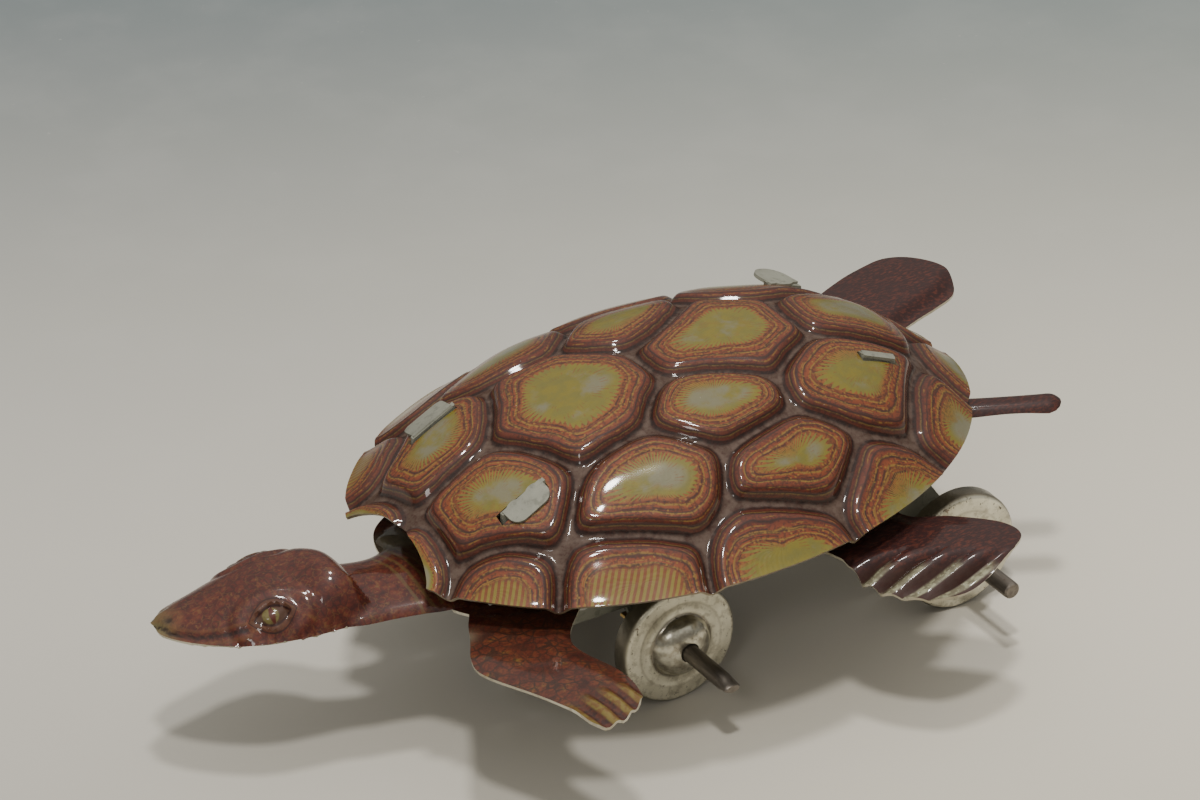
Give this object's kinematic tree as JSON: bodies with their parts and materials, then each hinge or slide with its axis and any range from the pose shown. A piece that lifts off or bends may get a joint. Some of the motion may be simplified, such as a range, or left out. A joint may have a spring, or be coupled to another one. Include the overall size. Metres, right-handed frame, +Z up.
{
  "type": "wind-up tortoise",
  "caption": "Clockwork tin tortoise: printed shell and flat body stamping over a geared spring motor that drives its front wheels.",
  "frame": {"origin": "on the floor under the middle of the toy's length and width", "axes": "+X towards the tail, -X towards the head, +Y towards the tortoise's right side, where the key is, +Z up"},
  "size_m": [0.1162, 0.076, 0.0372],
  "materials": {
    "shell_litho": "glossy lithographed tin, olive and red-brown",
    "body_litho": "glossy lithographed tin, red-brown scales",
    "frame_tin": "dull tinplate",
    "wheel_tin": "tarnished cream tinplate",
    "steel": "turned",
    "axle_steel": "dark wire",
    "spring_steel": "blued",
    "gear_brass": "stamped and cut",
    "key_steel": "nickelled"
  },
  "bodies": {
    "chassis": {"shell": "shell_litho", "body_plate": "body_litho", "left_side_plate": "frame_tin", "right_side_plate": "frame_tin", "front_pillar": "steel", "lower_pillar": "steel", "spring_pillar": "steel", "mainspring": "spring_steel"},
    "drive_axle": {"front_axle": "axle_steel", "front_left_wheel": "wheel_tin", "front_right_wheel": "wheel_tin", "front_left_bush": "steel", "front_right_bush": "steel", "drive_pinion": "gear_brass"},
    "intermediate": {"intermediate_arbor": "steel", "intermediate_wheel": "gear_brass", "intermediate_pinion": "gear_brass"},
    "great": {"great_wheel": "gear_brass", "click_rivet": "steel", "click_spring": "spring_steel"},
    "click": {"click": "steel"},
    "winding": {"winding_arbor": "steel", "ratchet_wheel": "gear_brass", "key_barrel": "key_steel", "key_bow": "key_steel"},
    "rear_axle": {"rear_axle": "axle_steel", "rear_left_wheel": "wheel_tin", "rear_right_wheel": "wheel_tin", "rear_left_bush": "steel", "rear_right_bush": "steel"}
  },
  "joints": [
    {"name": "drive_axle_spin", "type": "hinge", "parent": "chassis", "child": "drive_axle", "pos_m": [-0.00245, 0, 0.00745], "axis": [0, 1, 0], "continuous": true},
    {"name": "intermediate_spin", "type": "hinge", "parent": "chassis", "child": "intermediate", "pos_m": [0.00411, 0, 0.0175], "axis": [0, 1, 0], "continuous": true},
    {"name": "great_wheel_spin", "type": "hinge", "parent": "chassis", "child": "great", "pos_m": [0.01758, 0, 0.0165], "axis": [0, 1, 0], "continuous": true},
    {"name": "key_spin", "type": "hinge", "parent": "chassis", "child": "winding", "pos_m": [0.01758, 0, 0.0165], "axis": [0, 1, 0], "continuous": true},
    {"name": "rear_axle_spin", "type": "hinge", "parent": "chassis", "child": "rear_axle", "pos_m": [0.03596, 0, 0.00745], "axis": [0, 1, 0], "continuous": true},
    {"name": "click_lift", "type": "hinge", "parent": "great", "child": "click", "pos_m": [0.0207, 0, 0.02321], "axis": [0, 1, 0], "range_deg": [-7, 0]}
  ],
  "couplings": [
    {"joint": "intermediate_spin", "follows": "drive_axle_spin", "ratio": -0.33333},
    {"joint": "great_wheel_spin", "follows": "drive_axle_spin", "ratio": 0.095238},
    {"joint": "key_spin", "follows": "drive_axle_spin", "ratio": 0.095238}
  ]
}
